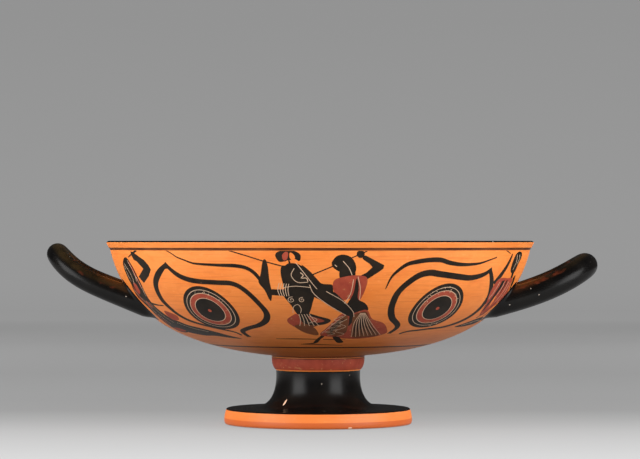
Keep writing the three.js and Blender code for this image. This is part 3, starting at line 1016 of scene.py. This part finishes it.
def roundSheet(name, radius, height):
    # a profile of radii and heights in metres turned round the upright axis; a floor is closed at its middle
    turn = np.linspace(0, 2 * math.pi, studio["sides"], endpoint=False)
    x, y = radius[:, None] * np.cos(turn), radius[:, None] * np.sin(turn)
    points = np.stack((x, y, np.repeat(height[:, None], len(turn), axis=1)), -1).reshape(-1, 3)
    rings, sides = len(radius), len(turn)
    j, k = [index.ravel() for index in np.meshgrid(np.arange(rings - 1), np.arange(sides), indexing="ij")]
    faces = np.column_stack((j * sides + k, j * sides + (k + 1) % sides, (j + 1) * sides + (k + 1) % sides,
                             (j + 1) * sides + k))[:, ::-1].tolist()
    if height[0] == height[-1]:
        faces.append(list(range(sides)))
    mesh = bpy.data.meshes.new(name)
    mesh.from_pydata(points.tolist(), [], faces)
    mesh.shade_smooth()
    sheet = bpy.data.objects.new(name, mesh)
    bpy.context.collection.objects.link(sheet)
    mesh.materials.append(sweepPaper())
    sheet.visible_diffuse = False  # the paper's glow is painted light, kept from diffuse rays so it throws no light up at the cup
    sheet.visible_shadow = False
    return sheet


def makeSweep():
    # round paper sweep: floor disc, then a quarter-circle bend and an upright wall
    bend = np.linspace(0, math.pi / 2, 12)
    floorLevel = -0.0005
    floor = roundSheet("Paper floor", np.array([0.3, 1.0, studio["floorRadius"]]), np.full(3, floorLevel))
    radius = studio["floorRadius"] + studio["bendRadius"] * np.sin(bend)
    height = floorLevel + studio["bendRadius"] * (1 - np.cos(bend))
    wall = roundSheet("Paper wall", np.append(radius, radius[-1]), np.append(height, studio["height"]))
    wall.visible_glossy = False  # the room beyond the lights is dark in the gloss
    return floor, wall


def sweepPaper():
    # studio paper glowing with painted light, bright in front and darker behind and above as if lit from the
    # front, with a weak share of real shade for the shadow
    material, tree, shader = newMaterial("Grey paper with painted light", 1.0, 0)
    shader.inputs["Base Color"].default_value = linear("#5A5A5A")
    spot = addNode(tree, "ShaderNodeTexCoord").outputs["Object"]
    place = addNode(tree, "ShaderNodeSeparateXYZ", Vector=spot)
    low, high = studio["paintedLightTones"][0][0], studio["paintedLightTones"][-1][0]
    share = addNode(tree, "ShaderNodeMapRange", {"From Min": low, "From Max": high}, Value=place.outputs["Y"])
    ramp = addNode(tree, "ShaderNodeValToRGB", Fac=share.outputs["Result"])
    stops = ramp.color_ramp.elements
    while len(stops) < len(studio["paintedLightTones"]):
        stops.new(0.5)
    for stop, (distance, tone) in zip(stops, studio["paintedLightTones"]):
        stop.position = (distance - low) / (high - low)
        stop.color = linear(tone)
    fade = addNode(tree, "ShaderNodeMapRange", {"From Min": 0.05, "From Max": 0.6, "To Min": 1.0,
                                                "To Max": studio["paintedLightAtTop"]}, Value=place.outputs["Z"])
    tone = addNode(tree, "ShaderNodeVectorMath", {"operation": "SCALE"}, Vector=ramp.outputs["Color"],
                   Scale=fade.outputs["Result"])
    tree.links.new(tone.outputs["Vector"], shader.inputs["Emission Color"])
    shader.inputs["Emission Strength"].default_value = 1.0
    return material


def softbox(name, azimuth, elevation, distance, size, power):
    # a flat light of (width, height) that faces the bowl from that azimuth (0 in front) and elevation
    aim = Vector((0, 0, rimHeight * mm * 0.6))
    turn, rise = math.radians(azimuth), math.radians(elevation)
    way = Vector((math.sin(turn) * math.cos(rise), -math.cos(turn) * math.cos(rise), math.sin(rise)))
    light = bpy.data.lights.new(name, "AREA")
    light.shape = "RECTANGLE"
    light.size, light.size_y = size
    light.energy = power
    box = bpy.data.objects.new(name, light)
    box.location = aim + way * distance
    box.rotation_euler = (-way).to_track_quat("-Z", "Y").to_euler()
    box.visible_camera = False
    bpy.context.collection.objects.link(box)
    return box


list(makeSweep())
softbox("Left softbox", -54, 10, 1.9, (1.1, 1.5), 18)
softbox("Right softbox", 50, 10, 1.9, (1.1, 1.5), 18)
fills = [
    softbox("Left fill", -71, 20, 1.9, (1.1, 1.5), 34),
    softbox("Right fill", 69, 20, 1.9, (1.1, 1.5), 34),
    softbox("Front fill", 0, 14, 2.3, (1.2, 1.0), 20),
    softbox("Back left fill", -140, 25, 1.9, (1.2, 1.0), 22),
    softbox("Back right fill", 140, 25, 1.9, (1.2, 1.0), 22),
]
for fill in fills:
    fill.visible_glossy = False  # the room beyond the two front lights stays dark in the gloss
world = bpy.data.worlds.new("Studio")
bpy.context.scene.world = world
world.use_nodes = True
world.node_tree.nodes["Background"].inputs["Color"].default_value = linear(studio["ambient"])

viewing = {
    "distance": 1.95,
    "height": 0.1278,
    "tilt": 0.254,
    "focal": 155.8,
}
lens = bpy.data.cameras.new("Camera")
lens.lens = viewing["focal"]
camera = bpy.data.objects.new("Camera", lens)
camera.location = (-0.0001, -viewing["distance"], viewing["height"])
camera.rotation_euler = (math.radians(90 + viewing["tilt"]), 0, 0)
bpy.context.collection.objects.link(camera)
bpy.context.scene.camera = camera
bpy.context.scene.view_settings.view_transform = "Standard"
